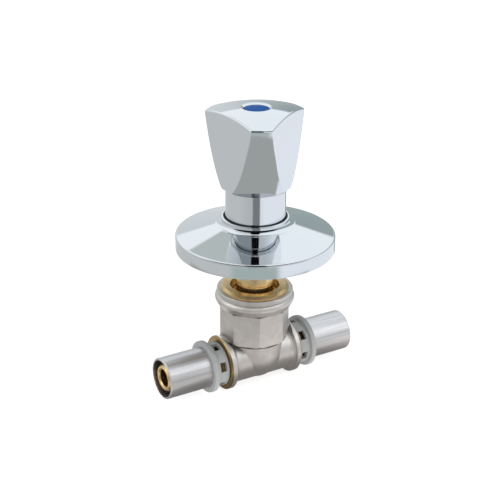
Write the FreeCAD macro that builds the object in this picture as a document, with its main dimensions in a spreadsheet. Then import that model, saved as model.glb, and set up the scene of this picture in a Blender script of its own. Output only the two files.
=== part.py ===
import FreeCAD, Part
import math
import os
import Sketcher

# Concealed stop valve for a 16 mm multilayer pipe, closed, with its handle on top.
# X runs along the pipe and Z along the spindle. The wall's finished face is at height zero.
# Pieces under the wall are drawn about the pipe axis and lowered by wall_depth.

SIZES = {
    "wall_depth": 52.0,         # pipe axis to the finished face of the wall
    "running_gap": 0.09,        # radial play of a running fit
    "seat_gap": 0.05,           # play between pieces that rest on each other
    # Horizontal run of the body
    "barrel_radius": 10.1,
    "flange_face": 18.0,
    "flange_width": 2.7,
    "flange_radius": 12.2,
    "flange_bevel": 0.6,
    "flange_fillet": 2.3,
    "hub_radius": 7.2,
    "hub_rib": 0.45,
    "tail_radius": 5.95,
    "tail_bore": 3.9,
    "tail_end": 45.8,
    "tail_bevel": 0.7,
    # Seals on the tails
    "seal_section": 0.6,
    "seal_proud": 0.12,
    "seal_first": 27.5,
    "seal_spacing": 7.0,
    # Press sleeves and their retaining rings
    "sleeve_bore": 8.2,
    "sleeve_wall": 0.9,
    "sleeve_length": 22.1,
    "sleeve_lip": 0.45,
    "ring_web": 0.85,
    "ring_wall": 1.6,
    "ring_reach": 6.25,
    "rim_lead": 0.5,
    "rim_width": 2.2,
    "rim_radius": 11.6,
    "rim_bevel": 0.45,
    "window_width": 4.2,
    "window_length": 2.9,
    "window_count": 6,
    "window_turn": 47.0,
    # Upright neck of the body
    "column_radius": 12.4,
    "block_across": 28.3,
    "block_low": 9.2,
    "block_high": 25.5,
    "block_chamfer": 1.3,
    "collar_radius": 15.9,
    "collar_spread": 1.35,
    "collar_rise": 2.6,
    "collar_roll": 2.8,
    "collar_round": 2.12,
    "collar_groove": 1.0,
    "bead_proud": 0.4,
    "bead_rise": 2.2,
    "spigot_radius": 14.75,
    "spigot_height": 1.4,
    "spigot_bevel": 1.1,
    "mouth_radius": 10.6,
    "mouth_bevel": 0.3,
    "ledge_height": 24.0,
    # Waterway inside the body
    "chamber_radius": 8.8,
    "chamber_floor": 5.6,
    "chamber_top": 17.0,
    "seat_height": 7.6,
    "seat_radius": 6.2,
    "port_radius": 4.5,
    "passage_radius": 2.8,
    "passage_foot": 14.0,
    "passage_lean": 26.3,
    "passage_length": 9.4,
    # Headwork
    "thread_radius": 9.55,
    "gasket_thickness": 1.0,
    "shoulder_play": 0.2,
    "shoulder_height": 5.6,
    "stem_radius": 8.2,
    "stem_groove": 0.35,
    "wrench_play": 1.2,
    "wrench_low": 1.6,
    "wrench_height": 6.0,
    "tube_thread_step": 0.5,
    "tube_thread_length": 12.0,
    "nose_step": 2.0,
    "nose_top": 27.65,
    "guide_radius": 6.9,
    "guide_flat": 5.9,
    "guide_top": 27.6,
    # Spindle
    "spindle_radius": 4.1,
    "lead_radius": 3.85,
    "lead_clear": 1.5,
    "collar_flange": 5.3,
    "collar_flange_height": 1.8,
    "thrust_thickness": 0.6,
    "gland_section": 0.5,
    "gland_first": 12.6,
    "gland_spacing": 4.0,
    "clip_thickness": 0.7,
    "clip_width": 1.9,
    "clip_depth": 0.7,
    "clip_gap": 50.0,
    "spline_depth": 0.45,
    "spline_teeth": 20,
    "spline_length": 14.0,
    "screw_radius": 2.4,
    "screw_depth": 9.0,
    # Disc carrier and seat washer
    "disc_lift": 5.0,
    "guide_play": 0.15,
    "lead_play": 0.15,
    "holder_radius": 7.4,
    "holder_height": 1.35,
    "washer_radius": 6.55,
    "washer_thickness": 3.0,
    "washer_proud": 0.75,
    "washer_screw_radius": 1.6,
    "washer_screw_head": 3.3,
    "washer_screw_height": 1.8,
    # Cover tube and rosette
    "tube_radius": 13.0,
    "tube_wall": 0.85,
    "tube_low": 5.1,
    "tube_overlap": 3.2,
    "tube_web_low": 9.6,
    "tube_web_height": 8.5,
    "rosette_radius": 34.4,
    "rosette_rim": 6.3,
    "rosette_height": 14.6,
    "rosette_wall": 1.2,
    "rosette_edge": 0.8,
    "rosette_cone": 11.3,
    "rosette_neck_wall": 0.8,
    "rosette_flare": 2.4,
    "rosette_seal_height": 2.3,
    "rosette_seal_wall": 0.75,
    # Handle
    "handle_gap": 0.4,
    "handle_height": 34.55,
    "handle_foot_wall": 1.7,
    "handle_flat_wall": 1.45,
    "handle_spread": 7.3,
    "handle_flare": 300.0,
    "handle_dome": 72.0,
    "handle_edge_round": 0.8,
    "handle_turn": 4.4,
    "skirt_play": 0.25,
    "skirt_depth": 3.8,
    "skirt_ledge": 0.9,
    "crown_wall": 5.0,
    "boss_radius": 7.0,
    "boss_web": 2.5,
    "screw_head_radius": 4.2,
    "screw_head_height": 2.8,
    "cap_radius": 5.43,
    "cap_rim": 0.92,
    "cap_depth": 2.6,
    "cap_thickness": 1.9,
    "cap_dome": 0.35,
}


class Size:
    # A number with the sheet expression that gives it.
    def __init__(self, value, text):
        self.value = value
        self.text = text

    @staticmethod
    def of(number):
        return number if isinstance(number, Size) else Size(float(number), repr(number))

    def joined(self, other, sign, value):
        return Size(value, f"({self.text} {sign} {Size.of(other).text})")

    def __add__(self, other):
        return self.joined(other, "+", self.value + Size.of(other).value)

    def __sub__(self, other):
        return self.joined(other, "-", self.value - Size.of(other).value)

    def __mul__(self, other):
        return self.joined(other, "*", self.value * Size.of(other).value)

    def __truediv__(self, other):
        return self.joined(other, "/", self.value / Size.of(other).value)

    def __neg__(self):
        return Size(-self.value, f"(-1 * {self.text})")

    def root(self):
        return Size(math.sqrt(self.value), f"sqrt({self.text})")


class Sheet:
    # The driving sizes, one row each: its name, and its number under that alias.
    def __init__(self, doc, sizes):
        self.sheet = doc.addObject("Spreadsheet::Sheet", "Sizes")
        for row, (name, number) in enumerate(sizes.items(), 1):
            self.sheet.set(f"A{row}", name)
            self.sheet.set(f"B{row}", str(number))
            self.sheet.setAlias(f"B{row}", name)
            setattr(self, name, Size(float(number), f"Sizes.{name}"))


doc = FreeCAD.newDocument("concealed_stop_valve")
s = Sheet(doc, SIZES)
doc.recompute()
pieces = []
NIL = Size(0.0, "0")


def body(name, height=NIL):
    # A piece of its own, raised by a height from where it is drawn.
    piece = doc.addObject("PartDesign::Body", name)
    piece.Label = name
    if height is not NIL:
        piece.setExpression("Placement.Base.z", height.text)
    pieces.append(piece)
    return piece


def origin(piece, role):
    return next(f for f in piece.Origin.OriginFeatures if f.Role == role)


def sketch_on(piece, role, name, height=NIL):
    sketch = piece.newObject("Sketcher::SketchObject", name)
    sketch.AttachmentSupport = [(origin(piece, role), "")]
    sketch.MapMode = "FlatFace"
    if height is not NIL:
        sketch.setExpression("AttachmentOffset.Base.z", height.text)
    return sketch


def arc_edge(start, end, radius):
    # The short arc between two points; a positive radius turns left on the way.
    middle = (start + end) * 0.5
    chord = end - start
    reach = math.sqrt(max(radius * radius - chord.Length**2 / 4, 0.0))
    left = FreeCAD.Vector(-chord.y, chord.x, 0).normalize()
    centre = middle + left * math.copysign(reach, radius)
    circle = Part.Circle(centre, FreeCAD.Vector(0, 0, 1), abs(radius))
    angles = [math.atan2((p - centre).y, (p - centre).x) for p in (start, end)]
    if radius < 0:
        angles.reverse()
    return Part.ArcOfCircle(circle, *angles)


def draw(sketch, points):
    # A closed outline of (across, up) corners. A third value makes the edge that arrives
    # at the corner an arc of that radius, which turns left if positive, right if negative.
    spots = [FreeCAD.Vector(p[0].value, p[1].value, 0) for p in points]
    bonds = []
    bindings = []
    ends = []
    for i, point in enumerate(points):
        start, end = spots[i - 1], spots[i]
        radius = point[2] if len(point) > 2 else None
        edge = arc_edge(start, end, radius.value) if radius else Part.LineSegment(start, end)
        index = sketch.addGeometry(edge, False)
        turned = radius is not None and radius.value < 0
        ends.append((index, 2 if turned else 1, 1 if turned else 2))
        if radius:
            bonds.append(Sketcher.Constraint("Radius", index, abs(radius.value)))
            bindings.append(radius.text if radius.value > 0 else f"-1 * {radius.text}")
    for i, point in enumerate(points):
        index, _, tip = ends[i]
        following = ends[(i + 1) % len(ends)]
        bonds.append(Sketcher.Constraint("Coincident", index, tip, following[0], following[1]))
        bindings.append(None)
        for kind, axis, place in (("DistanceX", -2, point[0]), ("DistanceY", -1, point[1])):
            if place is NIL:
                bonds.append(Sketcher.Constraint("PointOnObject", index, tip, axis))
                bindings.append(None)
            else:
                bonds.append(Sketcher.Constraint(kind, index, tip, place.value))
                bindings.append(place.text)
    count = sketch.ConstraintCount
    sketch.addConstraint(bonds)
    for i, text in enumerate(bindings):
        if text:
            sketch.setExpression(f"Constraints[{count + i}]", text)


def turned(piece, name, outlines, axis="V_Axis", kind="Revolution"):
    # A lathe form: outlines drawn on the XZ plane, swept round the sketch's own axis.
    sketch = sketch_on(piece, "XZ_Plane", name + "_sketch")
    for points in outlines:
        draw(sketch, points)
    feature = piece.newObject("PartDesign::" + kind, name)
    feature.Profile = sketch
    feature.ReferenceAxis = (sketch, [axis])
    feature.Angle = 360
    piece.Tip = feature
    return feature


def raised(piece, name, points, length, height=NIL, kind="Pad"):
    # A straight form upwards from a level outline, added by a Pad or cut by a Pocket.
    sketch = sketch_on(piece, "XY_Plane", name + "_sketch", height)
    draw(sketch, points)
    feature = piece.newObject("PartDesign::" + kind, name)
    feature.Profile = sketch
    feature.Reversed = kind == "Pocket"
    feature.setExpression("Length", length.text)
    piece.Tip = feature
    return feature


def repeated(piece, name, feature, count, role="Z_Axis"):
    pattern = piece.newObject("PartDesign::PolarPattern", name)
    pattern.Originals = [feature]
    pattern.Axis = (origin(piece, role), [""])
    pattern.Angle = 360
    pattern.Occurrences = int(count.value)
    piece.Tip = pattern
    return pattern


def rounded(piece, name, radius, is_there):
    # A fillet on every edge of the piece that lies wholly where is_there says.
    doc.recompute()
    before = piece.Tip
    edges = []
    for number, edge in enumerate(before.Shape.Edges, 1):
        low, high = edge.ParameterRange
        spots = [edge.valueAt(low + (high - low) * part) for part in (0.05, 0.35, 0.65, 0.95)]
        if all(is_there(spot) for spot in spots):
            edges.append(f"Edge{number}")
    fillet = piece.newObject("PartDesign::Fillet", name)
    fillet.Base = (before, edges)
    fillet.setExpression("Radius", radius.text)
    piece.Tip = fillet
    return fillet


def prism(piece, name, sides, across, height, low, turn):
    block = piece.newObject("PartDesign::AdditivePrism", name)
    block.Polygon = sides
    block.Placement = FreeCAD.Placement(
        FreeCAD.Vector(0, 0, low.value), FreeCAD.Rotation(FreeCAD.Vector(0, 0, 1), turn)
    )
    block.setExpression("Placement.Base.z", low.text)
    block.setExpression("Circumradius", (across / (2 * math.cos(math.pi / sides))).text)
    block.setExpression("Height", height.text)
    piece.Tip = block
    return block


def face_along(piece, side, turn=0.0):
    # Points a piece that is drawn along +X to one side of the valve, turned about its axis.
    about_z = FreeCAD.Rotation(FreeCAD.Vector(0, 0, 1), 0 if side > 0 else 180)
    about_x = FreeCAD.Rotation(FreeCAD.Vector(1, 0, 0), turn)
    piece.Placement = FreeCAD.Placement(
        FreeCAD.Vector(0, 0, -s.wall_depth.value), about_z.multiply(about_x)
    )
    piece.setExpression("Placement.Base.z", (-s.wall_depth).text)


def torus(name, major, minor, base, rotation=None):
    ring = doc.addObject("Part::Torus", name)
    ring.Label = name
    ring.setExpression("Radius1", major.text)
    ring.setExpression("Radius2", minor.text)
    ring.Placement = FreeCAD.Placement(
        FreeCAD.Vector(*(part.value for part in base)), rotation or FreeCAD.Rotation()
    )
    for letter, part in zip("xyz", base):
        if part is not NIL:
            ring.setExpression("Placement.Base." + letter, part.text)
    pieces.append(ring)
    return ring


under_wall = -s.wall_depth
sleeve_radius = s.sleeve_bore + s.sleeve_wall
tail_seal_major = s.tail_radius + s.seal_proud - s.seal_section
seal_places = [s.seal_first, s.seal_first + s.seal_spacing]
ring_face = s.flange_face + s.seat_gap
ring_pocket = ring_face + s.ring_reach
bulge_low = s.block_high + s.collar_rise
bulge_radius = s.collar_radius + s.collar_spread
groove_low = bulge_low + s.collar_roll
spigot_low = groove_low + s.bead_rise
body_top = spigot_low + s.spigot_height
tube_bore = s.tube_radius - s.tube_wall
wrench_across = (tube_bore - s.wrench_play) * (2 * math.cos(math.pi / 6))
tube_thread_radius = wrench_across / 2 - s.tube_thread_step
foot = s.nose_top + s.handle_gap
tube_top = foot + s.tube_overlap
cap_floor = s.handle_height - s.cap_depth
screw_seat = cap_floor - s.screw_head_height - 0.3
spindle_top = screw_seat - s.boss_web - 0.5
spindle_bore = s.spindle_radius + s.running_gap
collar_low = s.guide_top + s.seat_gap * 3
collar_top = collar_low + s.collar_flange_height
thrust_shoulder = collar_top + s.thrust_thickness + s.seat_gap
washer_low = s.seat_height + s.seat_gap
washer_top = washer_low + s.washer_thickness
holder_top = washer_top + s.holder_height


def seal_slot(place, floor, rim, section):
    # The four corners of a groove for a round seal, along a shaft.
    half = section + 0.2
    return [(place - half, rim), (place - half, floor), (place + half, floor), (place + half, rim)]


def valve_body():
    # One brass forging: a run with a flange and a hose tail each way, and an upright neck.
    piece = body("valve_body", under_wall)
    slot_floor = tail_seal_major - s.seal_section - 0.02
    flange_back = s.flange_face - s.flange_width
    rib_start = ring_face + s.ring_web + s.seat_gap * 2
    half_run = [
        (NIL, s.barrel_radius),
        (NIL, NIL),
        (s.tail_end, NIL),
        (s.tail_end, s.tail_radius - s.tail_bevel),
        (s.tail_end - s.tail_bevel, s.tail_radius),
    ]
    for place in reversed(seal_places):
        half_run += reversed(seal_slot(place, slot_floor, s.tail_radius, s.seal_section))
    half_run += [
        (rib_start + 1.4, s.tail_radius),
        (rib_start + 0.5, s.hub_radius + s.hub_rib),
        (rib_start, s.hub_radius + s.hub_rib),
        (rib_start, s.hub_radius),
        (s.flange_face, s.hub_radius),
        (s.flange_face, s.flange_radius - s.flange_bevel),
        (s.flange_face - s.flange_bevel, s.flange_radius),
        (flange_back + 0.3, s.flange_radius),
        (flange_back, s.flange_radius - 0.3, Size.of(0.3)),
        (flange_back, s.barrel_radius + s.flange_fillet * 0.6),
        (flange_back - s.flange_fillet, s.barrel_radius, -s.flange_fillet),
    ]
    run = turned(piece, "run", [half_run], axis="H_Axis")
    both = piece.newObject("PartDesign::Mirrored", "both_sides")
    both.Originals = [run]
    both.MirrorPlane = (origin(piece, "YZ_Plane"), [""])
    piece.Tip = both
    belly = s.column_radius - s.barrel_radius
    groove_radius = bulge_radius - s.collar_groove
    bead_radius = groove_radius + s.bead_proud
    neck = [
        (NIL, body_top),
        (NIL, -s.barrel_radius),
        (s.column_radius, belly, s.column_radius),
        (s.column_radius, s.block_high),
        (s.collar_radius, s.block_high),
        (bulge_radius, bulge_low),
        (groove_radius, groove_low, s.collar_round),
        (groove_radius, groove_low + s.bead_proud),
        (bead_radius, groove_low + s.bead_proud * 1.7),
        (bead_radius, spigot_low - s.bead_proud),
        (bead_radius - s.bead_proud, spigot_low, s.bead_proud),
        (s.spigot_radius, spigot_low),
        (s.spigot_radius, body_top - s.spigot_bevel),
        (s.spigot_radius - s.spigot_bevel, body_top),
    ]
    turned(piece, "neck", [neck])
    block_height = s.block_high - s.block_low
    prism(piece, "wrench_block", 8, s.block_across, block_height, s.block_low, 22.5)
    inscribed = s.block_across / 2
    turned(piece, "block_chamfer", [[
        (inscribed - 0.2, s.block_low),
        (inscribed, s.block_low - 0.5),
        (inscribed + 3, s.block_low - 0.5),
        (inscribed + 3, s.block_low + (s.block_chamfer * 3.2 / 1.3)),
    ]], kind="Groove")
    above = body_top + 1.0
    inside = [
        (NIL, above),
        (NIL, -(s.port_radius - 0.3)),
        (s.port_radius, -(s.port_radius - 0.3)),
        (s.port_radius, s.seat_height),
        (s.seat_radius - 0.6, s.seat_height),
        (s.seat_radius, s.chamber_floor),
        (s.chamber_radius, s.chamber_floor),
        (s.chamber_radius, s.chamber_top),
        (s.thread_radius + 0.1, s.chamber_top),
        (s.thread_radius + 0.1, s.ledge_height),
        (s.mouth_radius, s.ledge_height),
        (s.mouth_radius, body_top - s.mouth_bevel),
        (s.mouth_radius + s.mouth_bevel + 1.0, above),
    ]
    turned(piece, "mouth_and_seat", [inside], kind="Groove")
    past_end = s.tail_end + 1.0
    inlet = [
        (-past_end, NIL),
        (NIL, NIL),
        (NIL, s.tail_bore),
        (-(s.tail_end - 0.6), s.tail_bore),
        (-past_end, s.tail_bore + 1.6),
    ]
    passage_start = s.passage_foot - s.passage_radius - 1.0
    outlet = [
        (past_end, NIL),
        (past_end, s.tail_bore + 1.6),
        (s.tail_end - 0.6, s.tail_bore),
        (passage_start, s.tail_bore),
        (passage_start, NIL),
    ]
    turned(piece, "bores", [inlet, outlet], axis="H_Axis", kind="Groove")
    passage = piece.newObject("PartDesign::SubtractiveCylinder", "rising_passage")
    passage.Placement = FreeCAD.Placement(
        FreeCAD.Vector(s.passage_foot.value, 0, 0),
        FreeCAD.Rotation(FreeCAD.Vector(0, 1, 0), -s.passage_lean.value),
    )
    passage.setExpression("Placement.Base.x", s.passage_foot.text)
    passage.setExpression("Radius", s.passage_radius.text)
    passage.setExpression("Height", s.passage_length.text)
    piece.Tip = passage


def press_sleeve(name, side):
    # The stainless sleeve that is crimped over the pipe.
    piece = body(name)
    start = ring_pocket + s.seat_gap
    end = start + s.sleeve_length
    turned(piece, "wall", [[
        (start, s.sleeve_bore),
        (end, s.sleeve_bore),
        (end, sleeve_radius - s.sleeve_lip),
        (end - s.sleeve_lip, sleeve_radius, s.sleeve_lip),
        (start, sleeve_radius),
    ]], axis="H_Axis")
    face_along(piece, side)


def sleeve_ring(name, side):
    # The plastic ring that clips on the hub, holds the sleeve and shows the pipe's end.
    piece = body(name)
    web = ring_face + s.ring_web
    hub = s.hub_radius + s.seat_gap
    outer = s.sleeve_bore + s.ring_wall
    hold = sleeve_radius + s.seat_gap
    rim_start = ring_pocket - s.rim_lead
    end = rim_start + s.rim_width
    turned(piece, "wall", [[
        (ring_face, hub),
        (web, hub),
        (web, s.sleeve_bore),
        (ring_pocket, s.sleeve_bore),
        (ring_pocket, hold),
        (end, hold),
        (end, s.rim_radius - s.rim_bevel),
        (end - s.rim_bevel, s.rim_radius, s.rim_bevel),
        (rim_start + s.rim_bevel, s.rim_radius),
        (rim_start, s.rim_radius - s.rim_bevel, s.rim_bevel),
        (rim_start, outer),
        (ring_face + 0.3, outer),
        (ring_face, outer - 0.3),
    ]], axis="H_Axis")
    half = s.window_width / 2
    low = web + 0.6
    high = low + s.window_length
    window = raised(piece, "window", [
        (low, -half), (high, -half), (high, half), (low, half)
    ], s.rim_radius + 1.0, kind="Pocket")
    repeated(piece, "windows", window, s.window_count, role="X_Axis")
    face_along(piece, side, s.window_turn.value)


def headwork_gasket():
    piece = body("headwork_gasket", under_wall)
    turned(piece, "ring", [[
        (s.thread_radius + 0.2, s.ledge_height),
        (s.mouth_radius - 0.15, s.ledge_height),
        (s.mouth_radius - 0.15, s.ledge_height + s.gasket_thickness),
        (s.thread_radius + 0.2, s.ledge_height + s.gasket_thickness),
    ]])


def headwork():
    # The brass bonnet: screwed into the body, with a long stem up through the wall.
    piece = body("headwork", under_wall)
    low = s.chamber_top + 0.4
    shoulder = s.ledge_height + s.gasket_thickness
    shoulder_top = shoulder + s.shoulder_height
    hexagon_low = s.wall_depth + s.wrench_low
    thread_top = hexagon_low + s.wrench_height + s.tube_thread_length
    nose_top = s.wall_depth + s.nose_top
    pocket = s.collar_flange + 0.3
    line_low = body_top + 0.9
    shoulder_radius = s.mouth_radius - s.shoulder_play
    nose_radius = tube_thread_radius - s.nose_step
    turned(piece, "stem", [[
        (NIL, low),
        (s.thread_radius - 0.8, low),
        (s.thread_radius, low + 0.8),
        (s.thread_radius, s.ledge_height - 0.4),
        (s.thread_radius - 0.5, s.ledge_height),
        (s.thread_radius - 0.5, shoulder),
        (shoulder_radius, shoulder),
        (shoulder_radius, shoulder_top - 0.5),
        (shoulder_radius - 0.5, shoulder_top),
        (s.stem_radius, shoulder_top),
        (s.stem_radius, line_low),
        (s.stem_radius - s.stem_groove, line_low),
        (s.stem_radius - s.stem_groove, line_low + 0.6),
        (s.stem_radius, line_low + 0.6),
        (s.stem_radius, hexagon_low),
        (tube_thread_radius, hexagon_low),
        (tube_thread_radius, thread_top - 0.6),
        (tube_thread_radius - 0.6, thread_top),
        (nose_radius, thread_top),
        (nose_radius, nose_top - 0.4),
        (nose_radius - 0.4, nose_top),
        (NIL, nose_top),
    ]])
    prism(piece, "wrench_hexagon", 6, wrench_across, s.wrench_height, hexagon_low, 0)
    turned(piece, "spindle_bore", [[
        (NIL, low - 1.0),
        (pocket, low - 1.0),
        (pocket, thrust_shoulder),
        (spindle_bore, thrust_shoulder),
        (spindle_bore, nose_top + 1.0),
        (NIL, nose_top + 1.0),
    ]], kind="Groove")
    raised(piece, "guide", double_d(s.guide_radius, s.guide_flat), s.guide_top - low, low, "Pocket")


def double_d(radius, flat):
    # A round outline with a flat each side, counterclockwise from the lower right corner.
    half = (radius * radius - flat * flat).root()
    return [
        (flat, -half),
        (flat, half),
        (-flat, half, radius),
        (-flat, -half),
        (flat, -half, radius),
    ][1:]


def spindle():
    piece = body("spindle", under_wall)
    nose_top = s.wall_depth + s.nose_top
    top = s.wall_depth + foot + spindle_top
    lead_end = holder_top + s.disc_lift + s.lead_clear
    clip_floor = s.spindle_radius - s.clip_depth
    clip_low = nose_top + s.seat_gap * 2
    clip_high = clip_low + s.clip_thickness + s.seat_gap * 3
    slot_floor = spindle_bore - s.gland_section * 2
    shaft = [
        (NIL, lead_end),
        (s.lead_radius - 0.6, lead_end),
        (s.lead_radius, lead_end + 0.6),
        (s.lead_radius, collar_low),
        (s.collar_flange, collar_low),
        (s.collar_flange, collar_top),
        (s.spindle_radius, collar_top),
    ]
    for place in gland_places():
        slot = seal_slot(place, slot_floor, s.spindle_radius, s.gland_section)
        shaft += [(across, up) for up, across in slot]
    shaft += [
        (s.spindle_radius, clip_low),
        (clip_floor, clip_low),
        (clip_floor, clip_high),
        (s.spindle_radius, clip_high),
        (s.spindle_radius, top - 0.4),
        (s.spindle_radius - 0.4, top),
        (s.screw_radius + 0.1, top),
        (s.screw_radius + 0.1, top - s.screw_depth),
        (NIL, top - s.screw_depth - 1.4),
    ]
    turned(piece, "shaft", [shaft])
    tooth = s.spindle_radius * (math.pi / s.spline_teeth.value)
    notch = raised(piece, "notch", [
        (s.spindle_radius - s.spline_depth, NIL),
        (s.spindle_radius + 0.2, -tooth),
        (s.spindle_radius + 0.2, tooth),
    ], s.spline_length + 1.0, top - s.spline_length, "Pocket")
    repeated(piece, "spline", notch, s.spline_teeth)


def gland_places():
    first = s.wall_depth + s.nose_top - s.gland_first
    return [first, first + s.gland_spacing]


def spindle_clip():
    # The open ring above the headwork that keeps the spindle from dropping.
    piece = body("spindle_clip", under_wall)
    inner = s.spindle_radius - s.clip_depth + s.running_gap
    outer = inner + s.clip_width
    half = math.radians(s.clip_gap.value / 2)
    across, along = math.sin(half), math.cos(half)
    low = s.wall_depth + s.nose_top + s.seat_gap * 3
    raised(piece, "ring", [
        (outer * along, outer * across),
        (NIL, outer, outer),
        (-outer, NIL, outer),
        (NIL, -outer, outer),
        (outer * along, -(outer * across), outer),
        (inner * along, -(inner * across)),
        (NIL, -inner, -inner),
        (-inner, NIL, -inner),
        (NIL, inner, -inner),
        (inner * along, inner * across, -inner),
    ], s.clip_thickness, low)


def thrust_washer():
    piece = body("thrust_washer", under_wall)
    turned(piece, "ring", [[
        (spindle_bore + 0.1, collar_top),
        (s.collar_flange + 0.1, collar_top),
        (s.collar_flange + 0.1, collar_top + s.thrust_thickness),
        (spindle_bore + 0.1, collar_top + s.thrust_thickness),
    ]])


def disc_carrier():
    # The nut that the spindle's left-hand thread lifts; its flats keep it from turning.
    piece = body("disc_carrier", under_wall)
    top = s.guide_top - s.disc_lift - s.seat_gap * 4
    bore = s.lead_radius + s.lead_play
    screw = s.washer_screw_radius + 0.05
    inner_rim = s.washer_radius + 0.1
    turned(piece, "holder", [[
        (NIL, washer_top),
        (inner_rim, washer_top),
        (inner_rim, washer_low + s.washer_proud),
        (s.holder_radius, washer_low + s.washer_proud),
        (s.holder_radius, holder_top),
        (NIL, holder_top),
    ]])
    outline = double_d(s.guide_radius - s.guide_play, s.guide_flat - s.guide_play)
    raised(piece, "nut", outline, top - holder_top, holder_top)
    turned(piece, "bore", [[
        (NIL, washer_top - 1.0),
        (screw, washer_top - 1.0),
        (screw, holder_top + 0.4),
        (bore, holder_top + 1.2),
        (bore, top + 1.0),
        (NIL, top + 1.0),
    ]], kind="Groove")


def seat_washer():
    piece = body("seat_washer", under_wall)
    turned(piece, "ring", [[
        (s.washer_screw_radius + 0.05, washer_low),
        (s.washer_radius - 0.3, washer_low),
        (s.washer_radius, washer_low + 0.3),
        (s.washer_radius, washer_top),
        (s.washer_screw_radius + 0.05, washer_top),
    ]])


def washer_screw():
    piece = body("washer_screw", under_wall)
    head_low = washer_low - s.washer_screw_height
    turned(piece, "screw", [[
        (NIL, head_low),
        (s.washer_screw_head - 0.5, head_low),
        (s.washer_screw_head, head_low + 0.5),
        (s.washer_screw_head, washer_low),
        (s.washer_screw_radius, washer_low),
        (s.washer_screw_radius, holder_top),
        (NIL, holder_top),
    ]])
    half = s.washer_screw_head + 0.5
    raised(piece, "slot", [
        (-half, Size.of(-0.4)), (half, Size.of(-0.4)), (half, Size.of(0.4)), (-half, Size.of(0.4))
    ], Size.of(0.9), head_low, "Pocket")


def cover_tube():
    # The chromed tube, screwed on the headwork by a web inside it.
    piece = body("cover_tube")
    bore = tube_bore
    web_top = s.tube_web_low + s.tube_web_height
    web_bore = tube_thread_radius + 0.1
    turned(piece, "wall", [[
        (bore, s.tube_low),
        (s.tube_radius - 0.3, s.tube_low),
        (s.tube_radius, s.tube_low + 0.3),
        (s.tube_radius, tube_top - 0.3),
        (s.tube_radius - 0.3, tube_top),
        (bore, tube_top),
        (bore, web_top),
        (web_bore, web_top),
        (web_bore, s.tube_web_low),
        (bore, s.tube_web_low),
    ]])


def rosette():
    # A spun cover plate: rim, shallow cone and a flared neck round the tube.
    piece = body("rosette")
    wall = s.rosette_wall
    edge = s.rosette_edge
    flare = s.rosette_flare
    hole = s.tube_radius + s.running_gap + s.rosette_seal_wall + s.seat_gap
    neck = hole + s.rosette_neck_wall
    foot_radius = neck + flare
    cone_top = s.rosette_cone
    turned(piece, "plate", [[
        (s.rosette_radius - wall, NIL),
        (s.rosette_radius, NIL),
        (s.rosette_radius, s.rosette_rim - edge),
        (s.rosette_radius - edge, s.rosette_rim + 0.2, edge),
        (foot_radius, cone_top),
        (neck, cone_top + flare * 0.85, -flare),
        (neck, s.rosette_height - 0.3),
        (neck - 0.3, s.rosette_height, Size.of(0.3)),
        (hole, s.rosette_height),
        (hole, cone_top + flare * 0.85 - wall),
        (foot_radius, cone_top - wall),
        (s.rosette_radius - wall, s.rosette_rim + 0.2 - wall),
    ]])


def rosette_seal():
    # The soft lip in the rosette's neck that grips the tube.
    piece = body("rosette_seal")
    inner = s.tube_radius + s.running_gap
    outer = inner + s.rosette_seal_wall
    top = s.rosette_height - 0.3
    low = top - s.rosette_seal_height
    turned(piece, "lip", [[
        (inner + 0.25, low),
        (outer, low),
        (outer, top),
        (inner + 0.25, top),
        (inner, top - 0.4),
        (inner, low + 0.4),
    ]])


def handle():
    # A hollow casting: a flared round form with three flats and a shallow domed top.
    piece = body("handle", foot)
    piece.Placement = FreeCAD.Placement(
        FreeCAD.Vector(0, 0, foot.value),
        FreeCAD.Rotation(FreeCAD.Vector(0, 0, 1), s.handle_turn.value),
    )
    skirt = s.tube_radius + s.skirt_play
    foot_radius = skirt + s.handle_foot_wall
    corner = foot_radius + s.handle_spread
    flat_reach = skirt + s.handle_flat_wall
    cavity = skirt - s.skirt_ledge
    recess = s.cap_radius + s.seat_gap * 2
    rim = recess + s.cap_rim
    dome = s.handle_dome * s.handle_dome
    shoulder = s.handle_height - (dome - rim * rim).root() + (dome - corner * corner).root()
    cavity_top = shoulder - s.crown_wall
    spindle_hole = s.spindle_radius + s.running_gap
    bore_top = spindle_top + 0.5
    boss_low = spindle_top - s.spline_length - 0.8
    turned(piece, "form", [[
        (skirt, NIL),
        (foot_radius, NIL),
        (corner, shoulder, s.handle_flare),
        (rim, s.handle_height, s.handle_dome),
        (recess, s.handle_height - s.cap_rim * 0.8),
        (recess, cap_floor),
        (s.screw_head_radius + 0.2, cap_floor),
        (s.screw_head_radius + 0.2, screw_seat),
        (s.screw_radius + 0.3, screw_seat),
        (s.screw_radius + 0.3, bore_top),
        (spindle_hole, bore_top),
        (spindle_hole, boss_low),
        (s.boss_radius, boss_low),
        (s.boss_radius, cavity_top),
        (cavity, cavity_top),
        (cavity, s.skirt_depth),
        (skirt, s.skirt_depth),
    ]])
    beyond = corner + 5
    flat = raised(piece, "flat", [
        (-beyond, -beyond), (-flat_reach, -beyond), (-flat_reach, beyond), (-beyond, beyond)
    ], s.handle_height + 1.0, kind="Pocket")
    repeated(piece, "flats", flat, Size(3, "3"))

    def outside(spot):
        # True on the handle's outer edges, leaving out the dome's rim and all inside.
        return math.hypot(spot.x, spot.y) > flat_reach.value - 0.01

    rounded(piece, "soft_edges", s.handle_edge_round, outside)


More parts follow.
